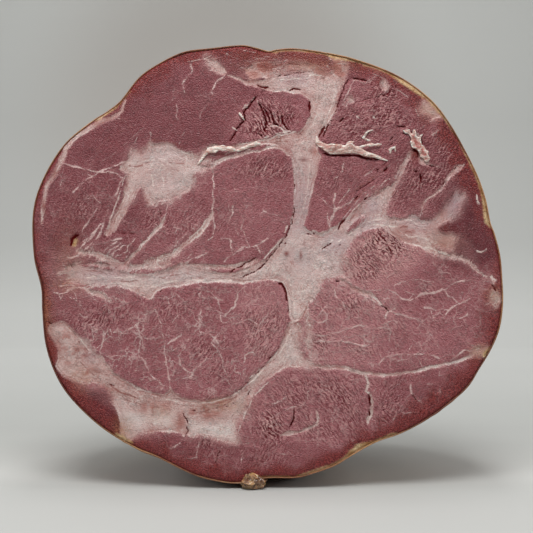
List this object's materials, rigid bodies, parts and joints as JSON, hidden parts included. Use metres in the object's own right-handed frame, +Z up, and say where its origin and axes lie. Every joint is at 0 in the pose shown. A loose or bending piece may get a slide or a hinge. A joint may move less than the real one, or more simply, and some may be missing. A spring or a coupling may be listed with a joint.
{
  "type": "spalla cotta",
  "caption": "Half of a boned, tied cooked pork shoulder standing on its side, its marbled cut face upright and its lobed casing closing at a puckered tied end.",
  "frame": {"origin": "on the floor, under the middle of the part's box", "axes": "+X across the cut face to the right as seen from the front, +Y from the cut face to the tied end, +Z up"},
  "size_m": [0.2156, 0.135, 0.1999],
  "materials": {
    "cooked_pork": "moist cooked meat, satin, with paler fat and tendon"
  },
  "bodies": {
    "root": {"spalla_cotta": "cooked_pork"}
  },
  "joints": []
}
